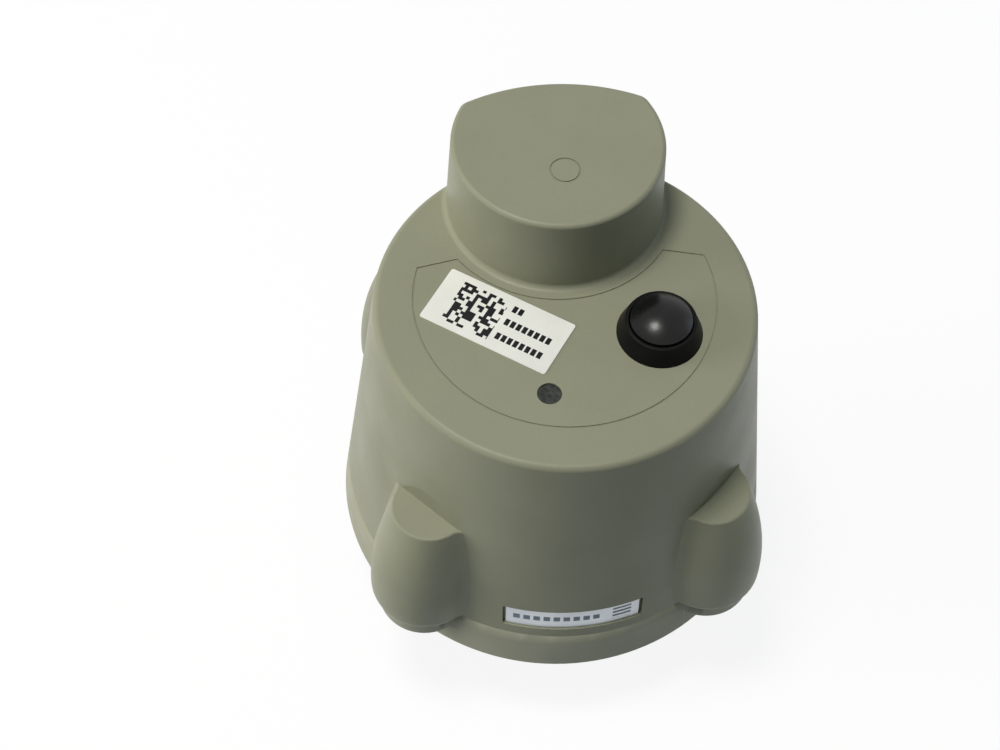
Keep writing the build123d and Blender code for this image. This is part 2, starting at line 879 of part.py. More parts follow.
with BuildPart() as indicator_lamp:
    with BuildSketch(Plane.XY.offset(lamp_foot)):
        with Locations(window_place):
            Circle(lamp_radius)
    extrude(amount=lamp_height)
    fillet(indicator_lamp.edges().group_by(Axis.Z)[-1], lamp_radius - lamp_tip_flat)
    with BuildSketch(Plane.XY.offset(lamp_foot)):
        with Locations(window_place):
            Circle(lamp_flange_radius)
    extrude(amount=lamp_flange_height)
indicator_lamp.part.position = standing_place
indicator_lamp.part.label = "indicator_lamp"
export_step(indicator_lamp.part, "parts/indicator_lamp.step")

lamp_lead_places = [
    (window_x - lamp_lead_spacing / 2, window_y),
    (window_x + lamp_lead_spacing / 2, window_y),
]
with BuildPart() as lamp_leads:
    with BuildSketch(Plane.XY.offset(lamp_foot)):
        with Locations(*lamp_lead_places):
            Rectangle(lamp_lead_width, lamp_lead_width)
    extrude(amount=board_bottom - pin_tail - lamp_foot)
lamp_leads.part.position = standing_place
lamp_leads.part.label = "lamp_leads"
export_step(lamp_leads.part, "parts/lamp_leads.step")

# Push button: bezel, nut and washer.
bezel_top = crown_height + bezel_height
well_floor = crown_height + bezel_well_floor
with BuildPart() as button_bezel:
    with BuildSketch(Plane.XY.offset(crown_height)):
        with Locations(button_place):
            Circle(bezel_foot_radius)
    with BuildSketch(Plane.XY.offset(bezel_top)):
        with Locations(button_place):
            Circle(bezel_top_radius)
    loft()
    with BuildSketch(Plane.XY.offset(well_floor)):
        with Locations(button_place):
            Circle(bezel_well_radius)
    extrude(amount=bezel_height, mode=Mode.SUBTRACT)
    fillet(button_bezel.edges().group_by(Axis.Z)[-1].sort_by(SortBy.RADIUS)[-1], bezel_lip_round)
    with BuildSketch(Plane.XY.offset(crown_height)):
        with Locations(button_place):
            Circle(bezel_barrel_radius)
    extrude(amount=-bezel_barrel_length)
    with BuildSketch(Plane.XY.offset(bezel_bottom)):
        with Locations(button_place):
            Circle(bezel_bore_radius)
    extrude(amount=bezel_barrel_length + bezel_well_floor, mode=Mode.SUBTRACT)
button_bezel.part.position = standing_place
button_bezel.part.label = "button_bezel"
export_step(button_bezel.part, "parts/button_bezel.step")

washer_under = crown_under - washer_thickness
with BuildPart() as button_washer:
    with BuildSketch(Plane.XY.offset(washer_under)):
        with Locations(button_place):
            Circle(washer_radius)
            Circle(bezel_barrel_radius + bezel_fit, mode=Mode.SUBTRACT)
    extrude(amount=washer_thickness)
button_washer.part.position = standing_place
button_washer.part.label = "button_washer"
export_step(button_washer.part, "parts/button_washer.step")

with BuildPart() as button_nut:
    with BuildSketch(Plane.XY.offset(washer_under)):
        with Locations(button_place):
            RegularPolygon(nut_flats / 2, 6, major_radius=False)
            Circle(bezel_barrel_radius + nut_fit, mode=Mode.SUBTRACT)
    extrude(amount=-nut_height)
button_nut.part.position = standing_place
button_nut.part.label = "button_nut"
export_step(button_nut.part, "parts/button_nut.step")

# Switch that plugs into the foot of the bezel, with two terminals down to the board.
plug_top = bezel_bottom + switch_plug_length
switch_foot = bezel_bottom - switch_height
with BuildPart() as switch_body:
    with BuildSketch(Plane.XY.offset(switch_foot)):
        with Locations(button_place):
            Circle(switch_radius)
    extrude(amount=switch_height)
    with BuildSketch(Plane.XY.offset(bezel_bottom)):
        with Locations(button_place):
            Circle(bezel_bore_radius - switch_plug_fit)
    extrude(amount=switch_plug_length)
switch_body.part.position = standing_place
switch_body.part.label = "switch_body"
export_step(switch_body.part, "parts/switch_body.step")

terminal_places = [
    (button_x - terminal_spacing / 2, button_y),
    (button_x + terminal_spacing / 2, button_y),
]
with BuildPart() as switch_terminals:
    with BuildSketch(Plane.XY.offset(switch_foot)):
        with Locations(*terminal_places):
            Rectangle(terminal_thickness, terminal_width)
    extrude(amount=board_bottom - pin_tail - switch_foot)
switch_terminals.part.position = standing_place
switch_terminals.part.label = "switch_terminals"
export_step(switch_terminals.part, "parts/switch_terminals.step")

# Moving part of the button: domed cap on a guided stem, with a contact disc at its end.
cap_foot = well_floor + button_travel + button_stop_gap
cap_shoulder = crown_height + cap_side_top
cap_radius = bezel_well_radius - cap_gap
stem_end = cap_foot - stem_length
contact_foot = plug_top + button_travel + contact_gap
contact_top = contact_foot + contact_thickness
with BuildPart() as button_cap:
    with BuildSketch(Plane.XZ) as cap_profile:
        with BuildLine():
            Polyline(
                (0, cap_shoulder + cap_dome_rise),
                (0, contact_top),
                (stem_neck_radius, contact_top),
                (stem_neck_radius, stem_end),
                (bezel_bore_radius - stem_gap, stem_end),
                (bezel_bore_radius - stem_gap, cap_foot),
                (cap_radius, cap_foot),
                (cap_radius, cap_shoulder),
            )
            RadiusArc(
                (cap_radius, cap_shoulder),
                (0, cap_shoulder + cap_dome_rise),
                -(cap_radius**2 + cap_dome_rise**2) / (2 * cap_dome_rise),
            )
        make_face()
        fillet(cap_profile.vertices().sort_by_distance((cap_radius, 0, cap_shoulder))[0], cap_edge_round)
    revolve(axis=Axis.Z)
button_cap.part.position = (button_x, button_y, spigot_length)
button_cap.part.label = "button_cap"
export_step(button_cap.part, "parts/button_cap.step")

with BuildPart() as button_contact:
    with BuildSketch(Plane.XY.offset(contact_foot)):
        with Locations(button_place):
            Circle(contact_radius)
    extrude(amount=contact_thickness)
button_contact.part.position = standing_place
button_contact.part.label = "button_contact"
export_step(button_contact.part, "parts/button_contact.step")

# Return spring between the switch and the shoulder of the stem.
spring_foot = plug_top + spring_seat_gap + spring_wire / 2
spring_rise = stem_end - plug_top - 2 * spring_seat_gap - spring_wire
with BuildPart() as button_spring:
    with BuildLine() as spring_line:
        Helix(spring_rise / spring_turns, spring_rise, spring_radius, center=(button_x, button_y, spring_foot))
    with BuildSketch(Plane(origin=spring_line.line @ 0, z_dir=spring_line.line % 0)):
        Circle(spring_wire / 2)
    sweep(path=spring_line.line, is_frenet=True)
button_spring.part.position = standing_place
button_spring.part.label = "button_spring"
export_step(button_spring.part, "parts/button_spring.step")

# Circuit board, cut straight at the back and pierced for screws, leads and the antenna.
post_places = [polar(post_ring_radius, angle) for angle in post_angles]
with BuildPart() as circuit_board:
    with BuildSketch(Plane.XY.offset(board_bottom)):
        Circle(board_radius)
        with Locations((0, board_back_flat)):
            Rectangle(2 * board_radius, board_radius, align=(Align.CENTER, Align.MIN), mode=Mode.SUBTRACT)
        with Locations(*post_places):
            Circle(board_screw_radius + board_hole_clearance, mode=Mode.SUBTRACT)
        with Locations(*terminal_places):
            Rectangle(
                terminal_thickness + 2 * terminal_hole_fit,
                terminal_width + 2 * terminal_hole_fit,
                mode=Mode.SUBTRACT,
            )
        with Locations(*lamp_lead_places):
            Circle(lamp_lead_width / 2 + 2 * terminal_hole_fit, mode=Mode.SUBTRACT)
        with Locations((0, antenna_y)):
            Rectangle(
                antenna_tab_width + 2 * antenna_slot_fit,
                antenna_thickness + 2 * antenna_slot_fit,
                mode=Mode.SUBTRACT,
            )
    extrude(amount=board_thickness)
circuit_board.part.position = standing_place
circuit_board.part.label = "circuit_board"
export_step(circuit_board.part, "parts/circuit_board.step")

board_screws = screw_group(
    post_places,
    board_bottom,
    1,
    board_screw_length + board_thickness - pilot_extra,
    board_screw_radius,
    board_screw_head_radius,
    board_screw_head_height,
)
board_screws.part.position = standing_place
board_screws.part.label = "board_screws"
export_step(board_screws.part, "parts/board_screws.step")

# Antenna board, standing up from the circuit board into the hump.
antenna_top = hump_top - crown_thickness - antenna_clearance
with BuildPart() as antenna_board:
    with BuildSketch(Plane.XZ.offset(-antenna_y - antenna_thickness / 2)) as antenna_outline:
        with Locations((0, board_top)):
            Rectangle(antenna_width, antenna_top - board_top, align=(Align.CENTER, Align.MIN))
        fillet(antenna_outline.vertices().group_by(Axis.Z)[-1], antenna_corner)
        with Locations((0, board_top)):
            Rectangle(antenna_tab_width, board_thickness, align=(Align.CENTER, Align.MAX))
    extrude(amount=antenna_thickness)
antenna_board.part.position = standing_place
antenna_board.part.label = "antenna_board"
export_step(antenna_board.part, "parts/antenna_board.step")

# Parts on top of the circuit board.
radio_place = (radio_inset - board_radius, antenna_y - radio_setback)
with BuildPart() as radio_module:
    with BuildSketch(Plane.XY.offset(board_top)):
        with Locations(radio_place):
            RectangleRounded(radio_length, radio_width, radio_corner)
    extrude(amount=radio_height)
    fillet(radio_module.edges().group_by(Axis.Z)[-1], chip_round)
radio_module.part.position = standing_place
radio_module.part.label = "radio_module"
export_step(radio_module.part, "parts/radio_module.step")

with BuildPart() as processor_chip:
    with BuildSketch(Plane.XY.offset(board_top)):
        with Locations((chip_x, chip_y)):
            Rectangle(chip_size, chip_size)
    extrude(amount=chip_height)
    chamfer(processor_chip.edges().group_by(Axis.Z)[-1], chip_round)
processor_chip.part.position = standing_place
processor_chip.part.label = "processor_chip"
export_step(processor_chip.part, "parts/processor_chip.step")

capacitor_places = [
    (capacitor_x, capacitor_y - capacitor_spacing / 2),
    (capacitor_x, capacitor_y + capacitor_spacing / 2),
]
with BuildPart() as capacitors:
    with BuildSketch(Plane.XY.offset(board_top)):
        with Locations(*capacitor_places):
            Circle(capacitor_radius)
    extrude(amount=capacitor_height)
    fillet(capacitors.edges().group_by(Axis.Z)[-1], capacitor_round)
capacitors.part.position = standing_place
capacitors.part.label = "capacitors"
export_step(capacitors.part, "parts/capacitors.step")

# Lithium cell along X under the board, and the two clips that hold it.
cell_centre = (0, cell_y, spigot_length + board_bottom - cell_drop - cell_radius)
with BuildPart() as battery_cell:
    with BuildSketch(Plane.YZ):
        Circle(cell_radius)
    extrude(amount=(cell_length - cell_button_height) / 2, both=True)
    fillet(battery_cell.edges(), cell_edge_round)
    with BuildSketch(Plane.YZ.offset((cell_length - cell_button_height) / 2)):
        Circle(cell_button_radius)
    extrude(amount=cell_button_height)
battery_cell.part.position = cell_centre
battery_cell.part.label = "battery_cell"
export_step(battery_cell.part, "parts/battery_cell.step")

clip_inner_radius = cell_radius + clip_gap
clip_outer_radius = clip_inner_radius + clip_thickness
clip_gap_half = clip_outer_radius * sin(radians(clip_opening / 2)) / cos(radians(clip_opening / 2))
clip_place = cell_length / 2 - clip_inset - clip_width / 2
with BuildPart() as battery_clips:
    with BuildSketch(Plane.YZ.offset(-clip_width / 2)) as clip_profile:
        Circle(clip_outer_radius)
        with Locations((0, 0)):
            Rectangle(clip_foot_width, cell_radius + cell_drop, align=(Align.CENTER, Align.MIN))
        Circle(clip_inner_radius, mode=Mode.SUBTRACT)
        with BuildLine():
            Polyline(
                (0, 0),
                (-clip_gap_half, -clip_outer_radius),
                (clip_gap_half, -clip_outer_radius),
                close=True,
            )
        make_face(mode=Mode.SUBTRACT)
    for side in (-1, 1):
        add(extrude(clip_profile.sketch, amount=clip_width, mode=Mode.PRIVATE).translate((side * clip_place, 0, 0)))
battery_clips.part.position = cell_centre
battery_clips.part.label = "battery_clips"
export_step(battery_clips.part, "parts/battery_clips.step")
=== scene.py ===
import json
from math import cos, radians, sin

import bpy
from mathutils import Matrix, Vector


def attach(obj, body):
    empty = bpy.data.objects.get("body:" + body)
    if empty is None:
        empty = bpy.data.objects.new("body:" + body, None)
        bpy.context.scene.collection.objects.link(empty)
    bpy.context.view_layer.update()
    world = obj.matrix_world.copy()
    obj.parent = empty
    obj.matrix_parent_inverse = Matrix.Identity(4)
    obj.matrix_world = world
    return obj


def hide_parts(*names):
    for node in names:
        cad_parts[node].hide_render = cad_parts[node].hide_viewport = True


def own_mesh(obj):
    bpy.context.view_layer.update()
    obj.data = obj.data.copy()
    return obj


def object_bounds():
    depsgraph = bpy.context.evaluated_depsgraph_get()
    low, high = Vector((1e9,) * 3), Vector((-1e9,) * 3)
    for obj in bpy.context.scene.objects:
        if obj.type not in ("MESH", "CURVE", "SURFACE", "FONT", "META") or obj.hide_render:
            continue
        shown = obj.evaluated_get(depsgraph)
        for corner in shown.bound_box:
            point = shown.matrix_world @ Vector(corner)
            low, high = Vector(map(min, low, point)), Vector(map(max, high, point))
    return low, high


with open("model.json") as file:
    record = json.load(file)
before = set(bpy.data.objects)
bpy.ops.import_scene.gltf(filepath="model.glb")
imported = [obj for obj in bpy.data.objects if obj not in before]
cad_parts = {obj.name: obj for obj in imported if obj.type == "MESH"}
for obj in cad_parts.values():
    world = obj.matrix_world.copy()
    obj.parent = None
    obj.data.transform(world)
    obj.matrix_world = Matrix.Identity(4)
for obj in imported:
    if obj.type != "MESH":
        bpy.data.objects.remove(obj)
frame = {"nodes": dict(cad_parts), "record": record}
cadLow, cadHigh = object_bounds()
bpy.context.scene.view_settings.view_transform = "Standard"
print("frame loaded, pieces:", len(frame["nodes"]))


def feed(finish, socket, value):
    # a socket takes either another node's output or a plain value
    if isinstance(value, bpy.types.NodeSocket):
        finish.node_tree.links.new(value, socket)
    else:
        socket.default_value = value


def addNode(finish, kind, inputs=None, **settings):
    # inputs go by name, or by number on a node that has several of one name
    node = finish.node_tree.nodes.new("ShaderNode" + kind)
    for name, value in settings.items():
        setattr(node, name, value)
    for name, value in (inputs or {}).items():
        feed(finish, node.inputs[name], value)
    return node


def newFinish(name, roughness, metallic=0.0, more=None):
    finish = bpy.data.materials.new(name)
    finish.use_nodes = True
    shader = finish.node_tree.nodes["Principled BSDF"]
    shader.inputs["Roughness"].default_value = roughness
    shader.inputs["Metallic"].default_value = metallic
    for socketName, value in (more or {}).items():
        shader.inputs[socketName].default_value = value
    return finish, shader


def objectPlace(finish):
    return addNode(finish, "TexCoord").outputs["Object"]


def movedPlace(finish, place, centre, turn=(0, 0, 0)):
    # moves the pattern's own origin to a spot on the piece, and turns it there
    mapping = addNode(
        finish, "Mapping",
        {"Vector": place, "Location": centre, "Rotation": turn},
        vector_type="TEXTURE",
    )
    return mapping.outputs["Vector"]


def stretchedPlace(finish, place, scale):
    return addNode(finish, "Mapping", {"Vector": place, "Scale": scale}).outputs["Vector"]


def mottle(finish, place, size, detail=3):
    # soft random lumps of about this size in metres
    noise = addNode(finish, "TexNoise", {"Vector": place, "Scale": 1 / size, "Detail": detail})
    return noise.outputs[0]


def spread(finish, value, low, high, fromLow=0.3, fromHigh=0.7):
    # most of a noise lies between 0.3 and 0.7, so that part is spread over low to high
    ranged = addNode(finish, "MapRange", {
        "Value": value, "From Min": fromLow, "From Max": fromHigh, "To Min": low, "To Max": high,
    })
    return ranged.outputs["Result"]


def opaque(colour):
    return (*colour, 1.0)


def blendColours(finish, factor, first, second):
    mix = addNode(finish, "Mix", {0: factor, 6: first, 7: second}, data_type="RGBA")
    return mix.outputs[2]


def twoTones(finish, noise, look):
    return blendColours(finish, spread(finish, noise, 0, 1), opaque(look["colour"]), opaque(look["shade"]))


def calc(finish, operation, first, second=0.0):
    return addNode(finish, "Math", {0: first, 1: second}, operation=operation).outputs[0]


def weighted(finish, first, second, share):
    # this share of the first and the rest of the second
    firstPart = calc(finish, "MULTIPLY", first, share)
    secondPart = calc(finish, "MULTIPLY", second, 1 - share)
    return calc(finish, "ADD", firstPart, secondPart)


def band(finish, value, low, high):
    # 1 between two limits and 0 outside them
    above = calc(finish, "GREATER_THAN", value, low)
    below = calc(finish, "LESS_THAN", value, high)
    return calc(finish, "MULTIPLY", above, below)


def patch(finish, along, across, alongReach, acrossReach):
    # 1 inside a rectangle and 0 outside it
    return calc(finish, "MULTIPLY", band(finish, along, *alongReach), band(finish, across, *acrossReach))


def dashes(finish, value, pitch, share):
    # 1 on the first share of every pitch
    part = calc(finish, "FRACT", calc(finish, "DIVIDE", value, pitch))
    return calc(finish, "LESS_THAN", part, share)


def relief(finish, shader, height, depth):
    bump = addNode(finish, "Bump", {"Distance": depth, "Height": height})
    feed(finish, shader.inputs["Normal"], bump.outputs["Normal"])


# Plain finishes: what is moulded or cast, and drawn or plated metal
cloudDetail = 4  # layers of noise in a moulding's clouds
fineDetail = 2  # layers of noise in grain, drawn lines and creases
cloudShare = 0.7  # of a moulding's tone, the rest comes from its grain
lineShare = 0.6  # of a metal's dullness, the rest comes from its smudges


def mouldedPlastic(name, look):
    # two close tones in soft clouds, an etched grain and a roughness that drifts a little
    finish, shader = newFinish(name, look["rough"][0], more=look.get("sockets"))
    place = objectPlace(finish)
    clouds = mottle(finish, place, look["cloudSize"], cloudDetail)
    grain = mottle(finish, place, look["grainSize"], fineDetail)
    tone = weighted(finish, clouds, grain, cloudShare)
    feed(finish, shader.inputs["Base Color"], twoTones(finish, tone, look))
    feed(finish, shader.inputs["Roughness"], spread(finish, clouds, *look["rough"]))
    relief(finish, shader, grain, look["grainDepth"])
    return finish


def brushedMetal(name, look):
    # fine drawn lines in one direction, with smudges that dull them here and there
    finish, shader = newFinish(name, look["rough"][0], 1.0)
    place = objectPlace(finish)
    lines = mottle(finish, stretchedPlace(finish, place, look["stretch"]), look["lineSize"], fineDetail)
    smudges = mottle(finish, place, look["smudgeSize"])
    dullness = weighted(finish, lines, smudges, lineShare)
    feed(finish, shader.inputs["Base Color"], twoTones(finish, smudges, look))
    feed(finish, shader.inputs["Roughness"], spread(finish, dullness, *look["rough"]))
    relief(finish, shader, lines, look["lineDepth"])
    return finish


housingLook = {
    "colour": (0.262, 0.262, 0.182),
    "shade": (0.238, 0.239, 0.166),
    "cloudSize": 0.014,
    "grainSize": 0.0007,
    "grainDepth": 0.000018,
    "rough": (0.40, 0.50),
    "sockets": {"Specular IOR Level": 0.28},
}
# painted light: the cover's colour made paler, standing in for the light that falls on the flange's wall
paintedLightBaseLook = {
    "colour": (0.340, 0.335, 0.250),
    "shade": (0.314, 0.310, 0.230),
    "cloudSize": 0.011,
    "grainSize": 0.0008,
    "grainDepth": 0.00002,
    "rough": (0.44, 0.55),
    "sockets": {"Specular IOR Level": 0.28},
}
buttonLook = {
    "colour": (0.0035, 0.0038, 0.0035),
    "shade": (0.0065, 0.0070, 0.0060),
    "cloudSize": 0.004,
    "grainSize": 0.0004,
    "grainDepth": 0.000008,
    "rough": (0.36, 0.44),
    "sockets": {"Specular IOR Level": 0.07},
}
capLook = {
    "colour": (0.0035, 0.0038, 0.0035),
    "shade": (0.0065, 0.0070, 0.0060),
    "cloudSize": 0.003,
    "grainSize": 0.0005,
    "grainDepth": 0.000014,
    "rough": (0.23, 0.31),
    "sockets": {"Specular IOR Level": 0.22},
}
blackPlasticLook = {
    "colour": (0.018, 0.018, 0.019),
    "shade": (0.028, 0.028, 0.029),
    "cloudSize": 0.006,
    "grainSize": 0.0006,
    "grainDepth": 0.000014,
    "rough": (0.42, 0.55),
}
sealLook = {
    "colour": (0.013, 0.013, 0.013),
    "shade": (0.024, 0.023, 0.022),
    "cloudSize": 0.005,
    "grainSize": 0.0005,
    "grainDepth": 0.000015,
    "rough": (0.60, 0.78),
}
ceramicLook = {
    "colour": (0.75, 0.70, 0.55),
    "shade": (0.66, 0.60, 0.46),
    "cloudSize": 0.003,
    "grainSize": 0.0003,
    "grainDepth": 0.00001,
    "rough": (0.55, 0.70),
}
pottingLook = {
    "colour": (0.080, 0.080, 0.090),
    "shade": (0.055, 0.055, 0.062),
    "cloudSize": 0.003,
    "grainSize": 0.0009,
    "grainDepth": 0.00003,
    "rough": (0.22, 0.40),
}
leadLook = {
    "colour": (0.35, 0.030, 0.020),
    "shade": (0.28, 0.022, 0.016),
    "cloudSize": 0.006,
    "grainSize": 0.0003,
    "grainDepth": 0.000005,
    "rough": (0.30, 0.42),
}
plugLook = {
    "colour": (0.75, 0.72, 0.64),
    "shade": (0.67, 0.64, 0.55),
    "cloudSize": 0.003,
    "grainSize": 0.0004,
    "grainDepth": 0.00001,
    "rough": (0.40, 0.52),
}
steelLook = {
    "colour": (0.58, 0.58, 0.57),
    "shade": (0.47, 0.47, 0.47),
    "stretch": (1, 1, 14),
    "lineSize": 0.0012,
    "lineDepth": 0.000006,
    "smudgeSize": 0.003,
    "rough": (0.24, 0.44),
}
canLook = {
    "colour": (0.70, 0.71, 0.72),
    "shade": (0.60, 0.61, 0.63),
    "stretch": (1, 1, 10),
    "lineSize": 0.0015,
    "lineDepth": 0.000005,
    "smudgeSize": 0.004,
    "rough": (0.30, 0.46),
}
contactLook = {
    "colour": (0.74, 0.61, 0.32),
    "shade": (0.60, 0.46, 0.22),
    "stretch": (6, 6, 1),
    "lineSize": 0.001,
    "lineDepth": 0.000004,
    "smudgeSize": 0.002,
    "rough": (0.22, 0.40),
}


def inkedFilm(finish, shader, place, inked, look):
    # a film in two close tones with a fine grain, and ink where inked is 1
    film = twoTones(finish, mottle(finish, place, look["cloudSize"]), look)
    feed(finish, shader.inputs["Base Color"], blendColours(finish, inked, film, opaque(look["ink"])))
    relief(finish, shader, mottle(finish, place, look["grainSize"], fineDetail), look["grainDepth"])


# Identity label: white film with a plain block pattern and three rows of dashes
labelLook = {
    "centre": (-0.0147, -0.0037, 0),
    "turn": (0, 0, radians(-33)),
    "colour": (0.80, 0.79, 0.73),
    "shade": (0.74, 0.73, 0.68),
    "ink": (0.010, 0.010, 0.012),
    "blockSize": 0.00078,
    "blockArea": ((-0.0107, 0.0002), (-0.0054, 0.0054)),
    "paleShare": 0.48,
    "rows": (
        ((0.0014, 0.0042), 0.0042),
        ((0.0014, 0.0126), 0.0006),
        ((0.0014, 0.0126), -0.0034),
    ),
    "rowHeight": 0.0017,
    "dashPitch": 0.0014,
    "dashShare": 0.72,
    "cloudSize": 0.006,
    "grainSize": 0.0005,
    "grainDepth": 0.000006,
    "rough": 0.34,
    "sockets": {"Specular IOR Level": 0.15},
}


def printedLabel(name, look):
    finish, shader = newFinish(name, look["rough"], more=look["sockets"])
    place = objectPlace(finish)
    onLabel = movedPlace(finish, place, look["centre"], look["turn"])
    axes = addNode(finish, "SeparateXYZ", {"Vector": onLabel})
    along, across = axes.outputs["X"], axes.outputs["Y"]

    # square blocks, inked or pale at random
    blocksPerMetre = 1 / look["blockSize"]
    blockPlace = stretchedPlace(finish, onLabel, (blocksPerMetre, blocksPerMetre, 0))
    block = addNode(finish, "VectorMath", {0: blockPlace}, operation="FLOOR")
    chance = addNode(finish, "TexWhiteNoise", {"Vector": block.outputs[0]}, noise_dimensions="2D")
    dark = calc(finish, "GREATER_THAN", chance.outputs["Value"], look["paleShare"])
    inked = calc(finish, "MULTIPLY", dark, patch(finish, along, across, *look["blockArea"]))

    # rows of dashes beside the blocks
    halfRow = look["rowHeight"] / 2
    for reach, middle in look["rows"]:
        row = patch(finish, along, across, reach, (middle - halfRow, middle + halfRow))
        row = calc(finish, "MULTIPLY", row, dashes(finish, along, look["dashPitch"], look["dashShare"]))
        inked = calc(finish, "MAXIMUM", inked, row)

    inkedFilm(finish, shader, place, inked, look)
    return finish


# Name strip: silvered film with a plain dashed line and a small stack of level bars
stripLook = {
    "middleZ": 0.0399,
    "colour": (0.72, 0.75, 0.79),
    "shade": (0.64, 0.67, 0.71),
    "ink": (0.15, 0.20, 0.26),
    "lineReach": (-0.0132, 0.0066),
    "lineHeight": 0.0016,
    "dashPitch": 0.0022,
    "dashShare": 0.66,
    "barsReach": (0.0088, 0.0130),
    "barsHeight": 0.0039,
    "barPitch": 0.0013,
    "barShare": 0.55,
    "silver": 0.45,
    "cloudSize": 0.005,
    "grainSize": 0.0006,
    "grainDepth": 0.000006,
    "rough": 0.34,
    "sockets": {"Specular IOR Level": 0.30},
}


def printedStrip(name, look):
    finish, shader = newFinish(name, look["rough"], more=look["sockets"])
    place = objectPlace(finish)
    onStrip = movedPlace(finish, place, (0, 0, look["middleZ"]))
    axes = addNode(finish, "SeparateXYZ", {"Vector": onStrip})
    along, height = axes.outputs["X"], axes.outputs["Z"]
    halfLine = look["lineHeight"] / 2
    halfBars = look["barsHeight"] / 2
    line = patch(finish, along, height, look["lineReach"], (-halfLine, halfLine))
    line = calc(finish, "MULTIPLY", line, dashes(finish, along, look["dashPitch"], look["dashShare"]))
    bars = patch(finish, along, height, look["barsReach"], (-halfBars, halfBars))
    bars = calc(finish, "MULTIPLY", bars, dashes(finish, height, look["barPitch"], look["barShare"]))
    inked = calc(finish, "MAXIMUM", line, bars)
    inkedFilm(finish, shader, place, inked, look)
    bare = calc(finish, "SUBTRACT", 1.0, inked)
    feed(finish, shader.inputs["Metallic"], calc(finish, "MULTIPLY", bare, look["silver"]))
    return finish


# Window and lamp: dark tinted plastic with small facets inside
windowLook = {
    "dark": (0.010, 0.012, 0.010),
    "light": (0.040, 0.044, 0.038),
    "facetSize": 0.0010,
    "facetRange": (0.1, 0.8),
    "facetDepth": 0.00012,
    "rough": 0.30,
    "sockets": {"Specular IOR Level": 0.18, "Coat Weight": 0.10, "Coat Roughness": 0.12},
}


def tintedWindow(name, look):
    finish, shader = newFinish(name, look["rough"], more=look["sockets"])
    place = objectPlace(finish)
    facets = addNode(finish, "TexVoronoi", {"Vector": place, "Scale": 1 / look["facetSize"]})
    shade = spread(finish, facets.outputs["Distance"], 0, 1, *look["facetRange"])
    tint = blendColours(finish, shade, opaque(look["dark"]), opaque(look["light"]))
    feed(finish, shader.inputs["Base Color"], tint)
    relief(finish, shader, facets.outputs["Distance"], look["facetDepth"])
    return finish


# Circuit board: green mask over tracks, with plated dots
boardLook = {
    "mask": (0.014, 0.105, 0.045),
    "track": (0.030, 0.165, 0.070),
    "plate": (0.62, 0.52, 0.28),
    "trackSize": 0.0026,
    "tracksPerCell": 5,
    "trackEdge": (0.45, 0.55),
    "trackDepth": 0.00003,
    "dotSize": 0.0031,
    "dotScatter": 0.4,
    "dotRadius": 0.13,
    "rough": 0.32,
}


def boardLaminate(name, look):
    finish, shader = newFinish(name, look["rough"])
    place = objectPlace(finish)
    cells = addNode(
        finish, "TexVoronoi",
        {"Vector": place, "Scale": 1 / look["trackSize"]},
        distance="CHEBYCHEV", feature="F2",
    )
    repeats = calc(finish, "MULTIPLY", cells.outputs["Distance"], look["tracksPerCell"])
    tracks = spread(finish, calc(finish, "FRACT", repeats), 0, 1, *look["trackEdge"])
    dots = addNode(
        finish, "TexVoronoi",
        {"Vector": place, "Scale": 1 / look["dotSize"], "Randomness": look["dotScatter"]},
    )
    plated = calc(finish, "LESS_THAN", dots.outputs["Distance"], look["dotRadius"])
    masked = blendColours(finish, tracks, opaque(look["mask"]), opaque(look["track"]))
    feed(finish, shader.inputs["Base Color"], blendColours(finish, plated, masked, opaque(look["plate"])))
    feed(finish, shader.inputs["Metallic"], plated)
    relief(finish, shader, tracks, look["trackDepth"])
    return finish


# Cell: printed shrink sleeve with a pale band towards one end
cellLook = {
    "colour": (0.070, 0.150, 0.320),
    "shade": (0.055, 0.120, 0.260),
    "bandColour": (0.62, 0.63, 0.62),
    "bandReach": (0.0085, 0.0150),
    "cloudSize": 0.005,
    "creaseStretch": (0.2, 1, 1),
    "creaseSize": 0.0016,
    "creaseDepth": 0.00004,
    "rough": (0.24, 0.38),
}


def cellSleeve(name, look):
    finish, shader = newFinish(name, look["rough"][0])
    place = objectPlace(finish)
    along = addNode(finish, "SeparateXYZ", {"Vector": place}).outputs["X"]
    clouds = mottle(finish, place, look["cloudSize"])
    sleeve = twoTones(finish, clouds, look)
    onBand = band(finish, along, *look["bandReach"])
    colour = blendColours(finish, onBand, sleeve, opaque(look["bandColour"]))
    feed(finish, shader.inputs["Base Color"], colour)
    feed(finish, shader.inputs["Roughness"], spread(finish, clouds, *look["rough"]))
    creasePlace = stretchedPlace(finish, place, look["creaseStretch"])
    relief(finish, shader, mottle(finish, creasePlace, look["creaseSize"], fineDetail), look["creaseDepth"])
    return finish


finishes = {
    "housing": mouldedPlastic("housingPlastic", housingLook),
    "strip": printedStrip("stripFilm", stripLook),
    "label": printedLabel("labelFilm", labelLook),
    "window": tintedWindow("windowPlastic", windowLook),
    "button": mouldedPlastic("buttonPlastic", buttonLook),
    "black_plastic": mouldedPlastic("hornPlastic", blackPlasticLook),
    "board": boardLaminate("boardLaminate", boardLook),
    "contacts": brushedMetal("contactPlating", contactLook),
    "steel": brushedMetal("zincedSteel", steelLook),
    "cans": brushedMetal("drawnAluminium", canLook),
    "cell": cellSleeve("cellSleeve", cellLook),
    "seals": mouldedPlastic("sealRubber", sealLook),
    "ceramic": mouldedPlastic("piezoCeramic", ceramicLook),
    "potting": mouldedPlastic("pottingResin", pottingLook),
    "lead": mouldedPlastic("leadInsulation", leadLook),
    "plug": mouldedPlastic("plugPlastic", plugLook),
}
ownFinishes = {
    "base_plate": mouldedPlastic("basePlasticPaintedLight", paintedLightBaseLook),  # painted light: a paler, more matt copy of the cover's plastic, so the flange looks more brightly lit than the cover
    "button_cap": mouldedPlastic("capPlastic", capLook),  # smoother than its bezel
}
